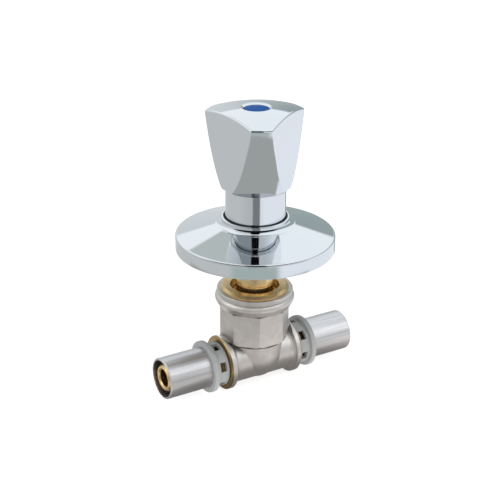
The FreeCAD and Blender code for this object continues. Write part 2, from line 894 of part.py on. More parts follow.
def handle_screw():
    piece = body("handle_screw")
    seat = foot + screw_seat
    top = seat + s.screw_head_height
    tip = foot + spindle_top - s.screw_depth + 1.0
    turned(piece, "screw", [[
        (NIL, tip),
        (s.screw_radius - 0.4, tip),
        (s.screw_radius, tip + 0.4),
        (s.screw_radius, seat),
        (s.screw_head_radius, seat),
        (s.screw_head_radius, top - 0.9),
        (s.screw_head_radius - 0.9, top, Size.of(0.95)),
        (NIL, top),
    ]])
    for index, turn in enumerate((0, 1)):
        wide, slim = s.screw_head_radius * 0.62, Size.of(0.4)
        half_x, half_y = (wide, slim) if turn else (slim, wide)
        raised(piece, f"cross_{index + 1}", [
            (-half_x, -half_y), (half_x, -half_y), (half_x, half_y), (-half_x, half_y)
        ], Size.of(3.0), top - 1.5, "Pocket")


def index_cap():
    # The blue cap over the handle's screw.
    piece = body("index_cap", foot + cap_floor + s.seat_gap)
    side = s.cap_thickness
    shoulder = s.cap_radius - 0.25
    dome = (shoulder * shoulder + s.cap_dome * s.cap_dome) / (s.cap_dome * 2)
    turned(piece, "cap", [[
        (NIL, Size.of(1.0)),
        (s.cap_radius - 1.2, Size.of(1.0)),
        (s.cap_radius - 1.2, NIL),
        (s.cap_radius, NIL),
        (s.cap_radius, side - 0.25),
        (shoulder, side, Size.of(0.26)),
        (NIL, side + s.cap_dome, dome),
    ]])


valve_body()
along_x = FreeCAD.Rotation(FreeCAD.Vector(0, 1, 0), 90)
for hand, side in (("left", -1), ("right", 1)):
    press_sleeve(f"{hand}_press_sleeve", side)
    sleeve_ring(f"{hand}_sleeve_ring", side)
    for number, place in enumerate(seal_places, 1):
        spot = (place * side, NIL, under_wall)
        torus(f"{hand}_tail_seal_{number}", tail_seal_major, s.seal_section, spot, along_x)
headwork_gasket()
headwork()
spindle()
for number, place in enumerate(gland_places(), 1):
    spot = (NIL, NIL, place - s.wall_depth)
    gland_major = spindle_bore - s.gland_section - 0.01
    torus(f"spindle_seal_{number}", gland_major, s.gland_section - 0.02, spot)
spindle_clip()
thrust_washer()
disc_carrier()
seat_washer()
washer_screw()
cover_tube()
rosette()
rosette_seal()
handle()
handle_screw()
index_cap()

doc.recompute()
broken = [f"{o.Name} {o.State}" for o in doc.Objects if {"Invalid", "Error"} & set(o.State)]
broken += [p.Label for p in pieces if p.Shape.isNull() or not p.Shape.isValid()]
if broken:
    raise SystemExit("not built: " + ", ".join(broken))
os.makedirs("parts", exist_ok=True)
for piece in pieces:
    piece.Shape.exportStep(f"parts/{piece.Label}.step")
    print(piece.Label, len(piece.Shape.Solids), round(piece.Shape.Volume, 1))
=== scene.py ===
import math

import bpy
from mathutils import Matrix, Vector


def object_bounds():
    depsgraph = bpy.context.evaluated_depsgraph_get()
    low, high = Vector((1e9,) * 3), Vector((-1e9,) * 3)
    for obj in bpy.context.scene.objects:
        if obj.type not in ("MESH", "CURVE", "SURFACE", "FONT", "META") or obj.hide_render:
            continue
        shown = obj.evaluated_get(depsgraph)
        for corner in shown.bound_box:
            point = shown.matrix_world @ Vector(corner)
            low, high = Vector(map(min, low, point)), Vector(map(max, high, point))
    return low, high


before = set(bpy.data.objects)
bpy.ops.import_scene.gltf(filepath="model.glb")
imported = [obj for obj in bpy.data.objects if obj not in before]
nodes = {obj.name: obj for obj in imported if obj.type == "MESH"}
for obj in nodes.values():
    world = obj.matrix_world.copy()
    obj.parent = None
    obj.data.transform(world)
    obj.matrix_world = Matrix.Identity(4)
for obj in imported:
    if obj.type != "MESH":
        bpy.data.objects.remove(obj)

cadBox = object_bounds()
scene = bpy.context.scene
mm = 0.001
pipeHeight = -52.0 * mm     # the pipe's axis, under the wall face
chromed = ["rosette", "cover_tube", "handle"]


def toLinear(hexColour):
    channels = [int(hexColour[i:i + 2], 16) / 255 for i in (1, 3, 5)]
    linear = [c / 12.92 if c <= 0.04045 else ((c + 0.055) / 1.055) ** 2.4 for c in channels]
    return (*linear, 1.0)


white = toLinear("#FFFFFF")


def scaleFor(size):
    # a pattern's scale, from the size of one mark in mm
    return 1 / (size * mm)


def addNode(tree, kind, settings=None, links=None):
    # a setting is a property of the node or else the value of a socket, and a link names
    # the socket that an output goes into
    node = tree.nodes.new(kind)
    for name, value in (settings or {}).items():
        if isinstance(name, str) and hasattr(node, name):
            setattr(node, name, value)
    for name, value in (settings or {}).items():
        if isinstance(name, int) or not hasattr(node, name):
            node.inputs[name].default_value = value
    for name, source in (links or {}).items():
        tree.links.new(source, node.inputs[name])
    return node


def startTree(owner):
    owner.use_nodes = True
    owner.node_tree.nodes.clear()
    return owner.node_tree


def startMaterial(name, settings):
    material = bpy.data.materials.new(name)
    tree = startTree(material)
    shader = addNode(tree, "ShaderNodeBsdfPrincipled", settings)
    addNode(tree, "ShaderNodeOutputMaterial", links={"Surface": shader.outputs["BSDF"]})
    place = addNode(tree, "ShaderNodeTexCoord").outputs["Object"]
    return material, tree, shader, place


def finishSurface(tree, shader, dulling, roughness, relief, reliefHeight, limits=(0.0, 1.0)):
    # the roughness goes from one value to the other as the dulling pattern passes between
    # its limits, and the relief pattern stands up by reliefHeight, in mm
    dull = addNode(tree, "ShaderNodeMapRange", {
        "From Min": limits[0], "From Max": limits[1],
        "To Min": roughness[0], "To Max": roughness[1],
    }, {"Value": dulling.outputs["Fac"]})
    tree.links.new(dull.outputs["Result"], shader.inputs["Roughness"])
    bump = addNode(tree, "ShaderNodeBump", {"Strength": 1.0, "Distance": reliefHeight * mm},
                   {"Height": relief.outputs["Fac"]})
    tree.links.new(bump.outputs["Normal"], shader.inputs["Normal"])


def dress(nodeNames, material):
    for nodeName in nodeNames:
        mesh = nodes[nodeName].data
        mesh.materials.clear()
        mesh.materials.append(material)


# Bright chrome plate on the cover plate, the tube and the handle: a near mirror with a faint
# orange peel and a haze of wiping marks that shows only where a light edge runs over it.
chromeLook = {
    "colour": "#E2E5E8",
    "hazeSize": 11.0,           # mm, patches left by a polishing cloth
    "hazeLimits": (0.4, 0.7),   # of the noise, where a patch starts and where it is full
    "roughness": (0.025, 0.075),
    "peelSize": 1.6,            # mm, ripples of the plated surface, coarser than real
    "peelHeight": 0.0006,       # mm
}
chrome, tree, shader, place = startMaterial("brightChromePlate", {
    "Base Color": toLinear(chromeLook["colour"]), "Metallic": 1.0,
})
haze = addNode(tree, "ShaderNodeTexNoise", {
    "Scale": scaleFor(chromeLook["hazeSize"]), "Detail": 5.0, "Roughness": 0.65,
}, {"Vector": place})
peel = addNode(tree, "ShaderNodeTexNoise", {
    "Scale": scaleFor(chromeLook["peelSize"]), "Detail": 1.0,
}, {"Vector": place})
finishSurface(tree, shader, haze, chromeLook["roughness"], peel, chromeLook["peelHeight"],
              chromeLook["hazeLimits"])
dress(chromed, chrome)

# Satin nickel plate on a brass forging, soft and slightly grainy from blasting, with painted
# shade in the two seams of the block. Where it was turned after plating it is bare brass with
# rings of the tool: the end of the neck, its bore, the flange faces and the tails.
nickelLook = {
    "plate": "#E6E1DD",
    "plateShade": "#C6C1BC",
    "plateRoughness": (0.34, 0.50),
    "blotchSize": 3.5,          # mm, uneven thickness of the plate
    "grainSize": 0.35,          # mm, blasted grain, about twice the real size so that it shows
    "grainHeight": 0.009,       # mm
    "brass": "#E8D09F",
    "brassShade": "#C09A62",
    "brassRoughness": (0.20, 0.32),
    "ringSpacing": 0.22,        # mm, the tool's feed
    "ringHeight": 0.004,        # mm
    "faceStart": 17.45,         # mm along the pipe, where the turned flange faces start
    "faceEnd": 22.0,            # mm along the pipe, past the flanges
    "flangeShade": "#C4C2C0",         # painted shade on the flange faces: what they keep of the brass's brightness
    "spigotStart": 33.12,       # mm above the pipe's axis, where the turned neck end starts
    "turnedEdge": 0.04,         # mm, half the width of the plate's edge beside turned brass
    "mouthRadius": 10.75,       # mm, the turned bore in the neck
    "mouthEdge": 0.05,          # mm
    "mouthStart": 20.0,         # mm above the pipe's axis
    "seamShade": "#57524E",       # painted shade in the seams under the collar and at the foot of the block
    "seams": (25.1, 9.5),       # mm above the pipe's axis
    "seamWidth": 0.9,           # mm
    "seamReach": (12.5, 16.4),  # mm from the spindle's axis
}
nickel, tree, shader, place = startMaterial("satinNickelOnBrass", {"Metallic": 1.0})
spot = addNode(tree, "ShaderNodeSeparateXYZ", links={"Vector": place})
sideways = addNode(tree, "ShaderNodeMath", {"operation": "ABSOLUTE"}, {0: spot.outputs["X"]})
height = addNode(tree, "ShaderNodeMath", {"operation": "SUBTRACT", 1: pipeHeight},
                 {0: spot.outputs["Z"]})
flat = addNode(tree, "ShaderNodeCombineXYZ", links={
    "X": spot.outputs["X"], "Y": spot.outputs["Y"],
})
fromSpindle = addNode(tree, "ShaderNodeVectorMath", {"operation": "LENGTH"},
                      {0: flat.outputs["Vector"]})
across = addNode(tree, "ShaderNodeCombineXYZ", links={
    "X": height.outputs["Value"], "Y": spot.outputs["Y"],
})
fromPipe = addNode(tree, "ShaderNodeVectorMath", {"operation": "LENGTH"},
                   {0: across.outputs["Vector"]})

# where the brass is bare
onTail = addNode(tree, "ShaderNodeMapRange", {
    "From Min": (nickelLook["faceStart"] - nickelLook["turnedEdge"]) * mm,
    "From Max": (nickelLook["faceStart"] + nickelLook["turnedEdge"]) * mm,
}, {"Value": sideways.outputs["Value"]})
onSpigot = addNode(tree, "ShaderNodeMapRange", {
    "From Min": pipeHeight + (nickelLook["spigotStart"] - nickelLook["turnedEdge"]) * mm,
    "From Max": pipeHeight + (nickelLook["spigotStart"] + nickelLook["turnedEdge"]) * mm,
}, {"Value": spot.outputs["Z"]})
inMouth = addNode(tree, "ShaderNodeMapRange", {
    "From Min": nickelLook["mouthRadius"] * mm,
    "From Max": (nickelLook["mouthRadius"] - nickelLook["mouthEdge"]) * mm,
}, {"Value": fromSpindle.outputs["Value"]})
aboveSeat = addNode(tree, "ShaderNodeMath", {
    "operation": "GREATER_THAN", 1: nickelLook["mouthStart"] * mm,
}, {0: height.outputs["Value"]})
mouth = addNode(tree, "ShaderNodeMath", {"operation": "MULTIPLY"},
                {0: inMouth.outputs["Result"], 1: aboveSeat.outputs["Value"]})
ends = addNode(tree, "ShaderNodeMath", {"operation": "MAXIMUM"},
               {0: onTail.outputs["Result"], 1: onSpigot.outputs["Result"]})
bare = addNode(tree, "ShaderNodeMath", {"operation": "MAXIMUM"},
               {0: ends.outputs["Value"], 1: mouth.outputs["Value"]})

# where shade is painted into the two seams of the block
inSeams = [addNode(tree, "ShaderNodeMath", {
    "operation": "COMPARE", 1: seam * mm, 2: nickelLook["seamWidth"] / 2 * mm,
}, {0: height.outputs["Value"]}) for seam in nickelLook["seams"]]
seam = addNode(tree, "ShaderNodeMath", {"operation": "MAXIMUM"},
               {0: inSeams[0].outputs["Value"], 1: inSeams[1].outputs["Value"]})
inner, outer = nickelLook["seamReach"]
onBlock = addNode(tree, "ShaderNodeMath", {
    "operation": "COMPARE", 1: (inner + outer) / 2 * mm, 2: (outer - inner) / 2 * mm,
}, {0: fromSpindle.outputs["Value"]})
seamShadeMask = addNode(tree, "ShaderNodeMath", {"operation": "MULTIPLY"},
                {0: seam.outputs["Value"], 1: onBlock.outputs["Value"]})

blotch = addNode(tree, "ShaderNodeTexNoise", {
    "Scale": scaleFor(nickelLook["blotchSize"]), "Detail": 4.0,
}, {"Vector": place})
plateColour = addNode(tree, "ShaderNodeMix", {
    "data_type": "RGBA",
    6: toLinear(nickelLook["plate"]), 7: toLinear(nickelLook["plateShade"]),
}, {0: blotch.outputs["Fac"]})
brassColour = addNode(tree, "ShaderNodeMix", {
    "data_type": "RGBA",
    6: toLinear(nickelLook["brass"]), 7: toLinear(nickelLook["brassShade"]),
}, {0: blotch.outputs["Fac"]})
besideHub = addNode(tree, "ShaderNodeMath", {
    "operation": "LESS_THAN", 1: nickelLook["faceEnd"] * mm,
}, {0: sideways.outputs["Value"]})
onFlange = addNode(tree, "ShaderNodeMath", {"operation": "MULTIPLY"},
                   {0: onTail.outputs["Result"], 1: besideHub.outputs["Value"]})
# the flange faces get the bare brass darkened by painted shade
bareColour = addNode(tree, "ShaderNodeMix", {
    "data_type": "RGBA", "blend_type": "MULTIPLY", 7: toLinear(nickelLook["flangeShade"]),
}, {0: onFlange.outputs["Value"], 6: brassColour.outputs[2]})
plateOrSeamShade = addNode(tree, "ShaderNodeMix", {
    "data_type": "RGBA", 7: toLinear(nickelLook["seamShade"]),
}, {0: seamShadeMask.outputs["Value"], 6: plateColour.outputs[2]})
bodyColour = addNode(tree, "ShaderNodeMix", {"data_type": "RGBA"}, {
    0: bare.outputs["Value"], 6: plateOrSeamShade.outputs[2], 7: bareColour.outputs[2],
})
tree.links.new(bodyColour.outputs[2], shader.inputs["Base Color"])

plateGloss = addNode(tree, "ShaderNodeMapRange", {
    "To Min": nickelLook["plateRoughness"][0], "To Max": nickelLook["plateRoughness"][1],
}, {"Value": blotch.outputs["Fac"]})
brassGloss = addNode(tree, "ShaderNodeMapRange", {
    "To Min": nickelLook["brassRoughness"][0], "To Max": nickelLook["brassRoughness"][1],
}, {"Value": blotch.outputs["Fac"]})
gloss = addNode(tree, "ShaderNodeMix", {"data_type": "FLOAT"}, {
    0: bare.outputs["Value"], 2: plateGloss.outputs["Result"], 3: brassGloss.outputs["Result"],
})
tree.links.new(gloss.outputs[0], shader.inputs["Roughness"])

grain = addNode(tree, "ShaderNodeTexNoise", {
    "Scale": scaleFor(nickelLook["grainSize"]), "Detail": 2.0,
}, {"Vector": place})
grainHeight = addNode(tree, "ShaderNodeMath", {
    "operation": "MULTIPLY", 1: nickelLook["grainHeight"] * mm,
}, {0: grain.outputs["Fac"]})
fromAxis = addNode(tree, "ShaderNodeMix", {"data_type": "FLOAT"}, {
    0: onTail.outputs["Result"], 2: fromSpindle.outputs["Value"], 3: fromPipe.outputs["Value"],
})
rings = addNode(tree, "ShaderNodeTexNoise", {
    "noise_dimensions": "1D", "Detail": 1.0, "Scale": scaleFor(nickelLook["ringSpacing"]),
}, {"W": fromAxis.outputs[0]})
ringHeight = addNode(tree, "ShaderNodeMath", {
    "operation": "MULTIPLY", 1: nickelLook["ringHeight"] * mm,
}, {0: rings.outputs["Fac"]})
relief = addNode(tree, "ShaderNodeMix", {"data_type": "FLOAT"}, {
    0: bare.outputs["Value"], 2: grainHeight.outputs["Value"], 3: ringHeight.outputs["Value"],
})
reliefBump = addNode(tree, "ShaderNodeBump", {"Strength": 1.0, "Distance": 1.0},
                     {"Height": relief.outputs[0]})
tree.links.new(reliefBump.outputs["Normal"], shader.inputs["Normal"])
dress(["valve_body"], nickel)

# Turned brass, straight from the lathe: warm yellow and bright, with fine rings round the
# spindle's axis and a slight brown tarnish in patches.
brassLook = {
    "clean": "#F6E0B0",
    "tarnish": "#DAB07A",
    "tarnishLimits": (0.38, 0.85),      # of the noise, where it starts and where it is full
    "tarnishSize": 6.0,         # mm
    "roughness": (0.20, 0.34),
    "ringSpacing": 0.25,        # mm, the tool's feed
    "ringHeight": 0.005,        # mm
}
brass, tree, shader, place = startMaterial("turnedBrass", {"Metallic": 1.0})
tarnish = addNode(tree, "ShaderNodeTexNoise", {
    "Scale": scaleFor(brassLook["tarnishSize"]), "Detail": 6.0, "Roughness": 0.6,
}, {"Vector": place})
tint = addNode(tree, "ShaderNodeValToRGB", links={"Fac": tarnish.outputs["Fac"]})
for stop, position, name in zip(tint.color_ramp.elements, brassLook["tarnishLimits"],
                                ("clean", "tarnish")):
    stop.position = position
    stop.color = toLinear(brassLook[name])
tree.links.new(tint.outputs["Color"], shader.inputs["Base Color"])
spot = addNode(tree, "ShaderNodeSeparateXYZ", links={"Vector": place})
rings = addNode(tree, "ShaderNodeTexNoise", {
    "noise_dimensions": "1D", "Detail": 1.0, "Scale": scaleFor(brassLook["ringSpacing"]),
}, {"W": spot.outputs["Z"]})
finishSurface(tree, shader, tarnish, brassLook["roughness"], rings, brassLook["ringHeight"])
dress(["headwork", "spindle", "disc_carrier"], brass)

# Drawn stainless steel of the press sleeves: satin and slightly warm, with grey streaks along
# it from the drawing die and fine rings round it from the brush, which stretch every light
# into a band.
sleeveLook = {
    "colour": "#DEDCDB",
    "streak": "#C6C4C6",
    "streakLimits": (0.35, 0.65),
    "streakWidth": 0.7,         # mm
    "streakRun": 30.0,          # mm
    "roughness": (0.32, 0.42),
    "brushLimits": (0.3, 0.7),
    "brushSpacing": 0.16,       # mm between brush lines, about twice the real size
    "brushRun": 9.0,            # mm, length of one brush line
    "brushHeight": 0.0008,      # mm
    "stretch": 0.2,             # anisotropy
}
stainless, tree, shader, place = startMaterial("drawnStainlessSteel", {
    "Metallic": 1.0, "Anisotropic": sleeveLook["stretch"],
})
thinAcross = scaleFor(sleeveLook["streakWidth"])
drawn = addNode(tree, "ShaderNodeMapping", {
    "vector_type": "POINT",
    "Scale": (scaleFor(sleeveLook["streakRun"]), thinAcross, thinAcross),
}, {"Vector": place})
streaks = addNode(tree, "ShaderNodeTexNoise", {"Scale": 1.0, "Detail": 3.0},
                  {"Vector": drawn.outputs["Vector"]})
streakRange = addNode(tree, "ShaderNodeMapRange", {
    "From Min": sleeveLook["streakLimits"][0], "From Max": sleeveLook["streakLimits"][1],
}, {"Value": streaks.outputs["Fac"]})
tint = addNode(tree, "ShaderNodeMix", {
    "data_type": "RGBA",
    6: toLinear(sleeveLook["colour"]), 7: toLinear(sleeveLook["streak"]),
}, {0: streakRange.outputs["Result"]})
tree.links.new(tint.outputs[2], shader.inputs["Base Color"])
longRound = scaleFor(sleeveLook["brushRun"])
stretched = addNode(tree, "ShaderNodeMapping", {
    "vector_type": "POINT",
    "Scale": (scaleFor(sleeveLook["brushSpacing"]), longRound, longRound),
}, {"Vector": place})
brushed = addNode(tree, "ShaderNodeTexNoise", {"Scale": 1.0, "Detail": 3.0},
                  {"Vector": stretched.outputs["Vector"]})
finishSurface(tree, shader, brushed, sleeveLook["roughness"], brushed,
              sleeveLook["brushHeight"], sleeveLook["brushLimits"])
along = addNode(tree, "ShaderNodeTangent", {"direction_type": "RADIAL", "axis": "X"})
tree.links.new(along.outputs["Tangent"], shader.inputs["Tangent"])
dress(["left_press_sleeve", "right_press_sleeve"], stainless)

# Moulded nylon of the sleeve rings and the thrust washer: light grey, a little translucent,
# dull from the spark-eroded mould, with flow marks.
nylonLook = {
    "colour": "#BABCBB",
    "flow": "#A9ACAB",
    "flowSize": 5.0,            # mm
    "flowTwist": 0.8,
    "grainSize": 0.4,           # mm, mould texture, drawn coarse enough to show
    "grainHeight": 0.012,       # mm
    "roughness": (0.38, 0.52),
    "refraction": 1.53,
    "translucency": 0.08,
    "lightDepth": 0.8,          # mm that light goes in
}
nylon, tree, shader, place = startMaterial("mouldedNylon", {
    "IOR": nylonLook["refraction"], "Subsurface Weight": nylonLook["translucency"],
    "Subsurface Scale": nylonLook["lightDepth"] * mm,
})
flow = addNode(tree, "ShaderNodeTexNoise", {
    "Scale": scaleFor(nylonLook["flowSize"]), "Detail": 3.0, "Distortion": nylonLook["flowTwist"],
}, {"Vector": place})
tint = addNode(tree, "ShaderNodeMix", {
    "data_type": "RGBA",
    6: toLinear(nylonLook["colour"]), 7: toLinear(nylonLook["flow"]),
}, {0: flow.outputs["Fac"]})
tree.links.new(tint.outputs[2], shader.inputs["Base Color"])
grain = addNode(tree, "ShaderNodeTexNoise", {
    "Scale": scaleFor(nylonLook["grainSize"]), "Detail": 2.0,
}, {"Vector": place})
finishSurface(tree, shader, flow, nylonLook["roughness"], grain, nylonLook["grainHeight"])
dress(["left_sleeve_ring", "right_sleeve_ring", "thrust_washer"], nylon)

# Nitrile rubber of every seal and the seat washer: black, with the dull skin of a pressed ring
# and a greasy sheen in places.
rubberLook = {
    "colour": "#1B1B1C",
    "refraction": 1.52,
    "roughness": (0.38, 0.62),
    "greaseSize": 2.5,          # mm
    "greaseLimits": (0.35, 0.65),
    "skinSize": 0.3,            # mm
    "skinHeight": 0.01,         # mm
}
rubber, tree, shader, place = startMaterial("nitrileRubber", {
    "Base Color": toLinear(rubberLook["colour"]), "IOR": rubberLook["refraction"],
})
grease = addNode(tree, "ShaderNodeTexNoise", {
    "Scale": scaleFor(rubberLook["greaseSize"]), "Detail": 2.0,
}, {"Vector": place})
skin = addNode(tree, "ShaderNodeTexNoise", {"Scale": scaleFor(rubberLook["skinSize"])},
               {"Vector": place})
finishSurface(tree, shader, grease, rubberLook["roughness"], skin, rubberLook["skinHeight"],
              rubberLook["greaseLimits"])
dress(["left_tail_seal_1", "left_tail_seal_2", "right_tail_seal_1", "right_tail_seal_2",
       "spindle_seal_1", "spindle_seal_2", "seat_washer", "rosette_seal"], rubber)

# Pressed fibre of the gasket under the headwork: a brick red sheet of cellulose, matt, with
# short fibres lying flat.
fibreLook = {
    "colour": "#8A4335",
    "fibre": "#6B2F26",
    "fibreSize": 0.5,           # mm
    "fibreTwist": 2.5,
    "fibreHeight": 0.02,        # mm
    "roughness": 0.82,
    "refraction": 1.47,
}
fibre, tree, shader, place = startMaterial("pressedFibre", {
    "Roughness": fibreLook["roughness"], "IOR": fibreLook["refraction"],
})
strand = addNode(tree, "ShaderNodeTexNoise", {
    "Scale": scaleFor(fibreLook["fibreSize"]), "Detail": 4.0, "Distortion": fibreLook["fibreTwist"],
}, {"Vector": place})
tint = addNode(tree, "ShaderNodeMix", {
    "data_type": "RGBA",
    6: toLinear(fibreLook["colour"]), 7: toLinear(fibreLook["fibre"]),
}, {0: strand.outputs["Fac"]})
tree.links.new(tint.outputs[2], shader.inputs["Base Color"])
strandBump = addNode(tree, "ShaderNodeBump", {
    "Strength": 1.0, "Distance": fibreLook["fibreHeight"] * mm,
}, {"Height": strand.outputs["Fac"]})
tree.links.new(strandBump.outputs["Normal"], shader.inputs["Normal"])
dress(["headwork_gasket"], fibre)

# Zinc plated steel of both screws and blued spring steel of the spindle's clip: a cold grey
# with drawn lines, the clip nearly black. Spacing and height of the lines are in mm.
screwLook = {
    "colour": "#B8BCC2", "roughness": (0.24, 0.38), "lineSpacing": 0.2, "lineHeight": 0.004,
}
clipLook = {
    "colour": "#4C5058", "roughness": (0.28, 0.42), "lineSpacing": 0.12, "lineHeight": 0.003,
}
for name, look, pieces in (("zincPlatedSteel", screwLook, ["washer_screw", "handle_screw"]),
                           ("bluedSpringSteel", clipLook, ["spindle_clip"])):
    steel, tree, shader, place = startMaterial(name, {
        "Base Color": toLinear(look["colour"]), "Metallic": 1.0,
    })
    spot = addNode(tree, "ShaderNodeSeparateXYZ", links={"Vector": place})
    lines = addNode(tree, "ShaderNodeTexNoise", {
        "noise_dimensions": "1D", "Detail": 2.0, "Scale": scaleFor(look["lineSpacing"]),
    }, {"W": spot.outputs["Z"]})
    finishSurface(tree, shader, lines, look["roughness"], lines, look["lineHeight"])
    dress(pieces, steel)

# Moulded blue ABS of the index cap: pigmented right through, with the slight sink and
# waviness of a thin moulding.
capLook = {
    "colour": "#0C68C6",
    "refraction": 1.54,
    "gloss": 0.04,
    "roughness": (0.24, 0.36),
    "waveSize": 3.0,            # mm
    "waveHeight": 0.01,         # mm
}
cobalt, tree, shader, place = startMaterial("mouldedBlueAbs", {
    "Base Color": toLinear(capLook["colour"]), "IOR": capLook["refraction"],
    "Specular IOR Level": capLook["gloss"],
})
wave = addNode(tree, "ShaderNodeTexNoise", {
    "Scale": scaleFor(capLook["waveSize"]), "Detail": 1.0,
}, {"Vector": place})
finishSurface(tree, shader, wave, capLook["roughness"], wave, capLook["waveHeight"])
dress(["index_cap"], cobalt)

for node in nodes.values():
    node.data.polygons.foreach_set("use_smooth", [True] * len(node.data.polygons))
print("materials done")

view = {
    "azimuth": -0.5455,         # radians about Z, from the front
    "elevation": 0.413,         # radians
    "roll": 0.008,              # radians, the photograph leans a little
    "distance": 550 * mm,
    "aimAcross": -2.2 * mm,
    "aimHeight": -1.74 * mm,
    "sensor": 36.0,             # mm
    "pixels": 500,              # the photograph's width
    "focalPixels": 1273.2,
}
cosA, sinA = math.cos(view["azimuth"]), math.sin(view["azimuth"])
cosE, sinE = math.cos(view["elevation"]), math.sin(view["elevation"])
cosR, sinR = math.cos(view["roll"]), math.sin(view["roll"])
back = Vector((sinA * cosE, -cosA * cosE, sinE))
level = Vector((cosA, sinA, 0))
upright = back.cross(level)
right = level * cosR + upright * sinR
up = upright * cosR - level * sinR
aim = level * view["aimAcross"] + Vector((0, 0, view["aimHeight"]))
cameraData = bpy.data.cameras.new("camera")
cameraData.sensor_width = view["sensor"]
cameraData.lens = view["focalPixels"] / view["pixels"] * view["sensor"]
camera = bpy.data.objects.new("camera", cameraData)
stand = Matrix((right, up, back)).transposed().to_4x4()
stand.translation = aim + back * view["distance"]
camera.matrix_world = stand
scene.collection.objects.link(camera)
scene.camera = camera
scene.view_settings.view_transform = "Standard"
print("camera done")

# The studio is a white room that only reflections see, each colour as the chrome shows it.
# Painted over the white, in this order: low walls, a grey-green screen high at the back on
# the left, a greyer side on the left, a dark front that is highest towards the camera and
# has soft edges, what the tube sends on to the cover plate, and a narrow dark gap between
# the lamps above the dark front.
# A zone is a colour and its edges. An edge is what is measured, its limit, and how far it
# fades each way, which is minus where the paint lies below the limit.
front = math.atan2(back.y, back.x)      # the side that the photograph was taken from
room = {
    "strength": 1.3,            # makes up for what the chrome swallows
    "ambient": 0.36,            # the light of the room on what is no mirror
    "left": "#E4E9EB", "right": "#E2E7EC",
    "halfChange": 0.15,         # sideways, over which left goes into right
    "dimFall": 0.35,            # how fast the dark front gets lower to the sides
    "gapHalf": (15.0, 20.0),    # degrees, below and above the height where it widens
    "gapWidens": (42.0, 46.0),  # degrees up
    "zones": {
        "leftWall": ("#C3C8CA", [("rise", 21.0, -1.5)]),
        "rightWall": ("#8F9A9B", [("rise", 21.0, -1.5), ("sideways", 0.0, 0.15)]),
        "screen": ("#AEB5B3", [("offBack", 9.0, 1.0), ("offBack", 32.0, -1.0),
                               ("rise", 37.0, 1.0)]),
        "side": ("#C8CCCE", [("bearing", -78.0, 4.0), ("bearing", 0.0, -2.0),
                             ("rise", 30.0, 4.0), ("rise", 74.0, -4.0)]),
        "dim": ("#08090B", [("rise", 2.0, 2.0), ("aside", 72.0, -16.0),
                            ("dimEdge", 46.0, -12.0), ("mirror", 2.5, -0.1)]),
        "tubeLeft": ("#8B9194", [("mirror", 2.5, 0.1), ("sideways", -0.05, -0.05),
                                 ("aside", 120.0, -20.0)]),
        "tubeRight": ("#BFC3C6", [("mirror", 2.5, 0.1), ("sideways", 0.05, 0.05),
                                  ("aside", 70.0, -40.0)]),
        "gap": ("#0A0B0D", [("rise", 20.0, 2.0), ("offGap", 0.0, -1.5), ("rise", 68.0, -3.0)]),
    },
}


def paintZones(tree, colour, zones, measures):
    for hexColour, edges in zones.values():
        mask = None
        for measure, limit, fade in edges:
            edge = addNode(tree, "ShaderNodeMapRange", {
                "interpolation_type": "SMOOTHSTEP",
                "From Min": limit - fade, "From Max": limit + fade,
            }, {"Value": measures[measure]}).outputs["Result"]
            mask = edge if mask is None else addNode(
                tree, "ShaderNodeMath", {"operation": "MULTIPLY"}, {0: mask, 1: edge},
            ).outputs["Value"]
        colour = addNode(tree, "ShaderNodeMix", {
            "data_type": "RGBA", 7: toLinear(hexColour),
        }, {0: mask, 6: colour}).outputs[2]
    return colour


def measureRound(tree, direction):
    # how far sideways, plus on the right; degrees round from the front, plus on the right;
    # and the same degrees without their sign
    turned = addNode(tree, "ShaderNodeVectorRotate", {
        "rotation_type": "Z_AXIS", "Angle": -front,
    }, {"Vector": direction})
    spot = addNode(tree, "ShaderNodeSeparateXYZ", links={"Vector": turned.outputs["Vector"]})
    radians = addNode(tree, "ShaderNodeMath", {"operation": "ARCTAN2"},
                      {0: spot.outputs["Y"], 1: spot.outputs["X"]})
    bearing = addNode(tree, "ShaderNodeMath", {"operation": "DEGREES"},
                      {0: radians.outputs["Value"]})
    aside = addNode(tree, "ShaderNodeMath", {"operation": "ABSOLUTE"},
                    {0: bearing.outputs["Value"]})
    return spot, {"sideways": spot.outputs["Y"], "bearing": bearing.outputs["Value"],
                  "aside": aside.outputs["Value"]}


world = bpy.data.worlds.new("studio")
scene.world = world
tree = startTree(world)
lookout = addNode(tree, "ShaderNodeTexCoord").outputs["Generated"]
spot, roomMeasures = measureRound(tree, lookout)
ray = addNode(tree, "ShaderNodeLightPath")
climb = addNode(tree, "ShaderNodeMath", {"operation": "ARCSINE"}, {0: spot.outputs["Z"]})
rise = addNode(tree, "ShaderNodeMath", {"operation": "DEGREES"}, {0: climb.outputs["Value"]})
offBack = addNode(tree, "ShaderNodeMath", {"operation": "ADD", 1: 180.0},
                  {0: roomMeasures["bearing"]})
dimEdge = addNode(tree, "ShaderNodeMath", {"operation": "MULTIPLY_ADD", 1: room["dimFall"]},
                  {0: roomMeasures["aside"], 2: rise.outputs["Value"]})
gapHalf = addNode(tree, "ShaderNodeMapRange", {
    "From Min": room["gapWidens"][0], "From Max": room["gapWidens"][1],
    "To Min": room["gapHalf"][0], "To Max": room["gapHalf"][1],
}, {"Value": rise.outputs["Value"]})
offGap = addNode(tree, "ShaderNodeMath", {"operation": "SUBTRACT"},
                 {0: roomMeasures["aside"], 1: gapHalf.outputs["Result"]})
roomMeasures.update({
    "rise": rise.outputs["Value"],          # degrees up
    "offBack": offBack.outputs["Value"],    # degrees from the back, plus on the left
    "dimEdge": dimEdge.outputs["Value"],
    "offGap": offGap.outputs["Value"],      # degrees outside the gap
    "mirror": ray.outputs["Ray Depth"],     # 2 in the first mirror, 3 in a second
})
rightward = addNode(tree, "ShaderNodeMapRange", {
    "From Min": -room["halfChange"], "From Max": room["halfChange"],
}, {"Value": roomMeasures["sideways"]})
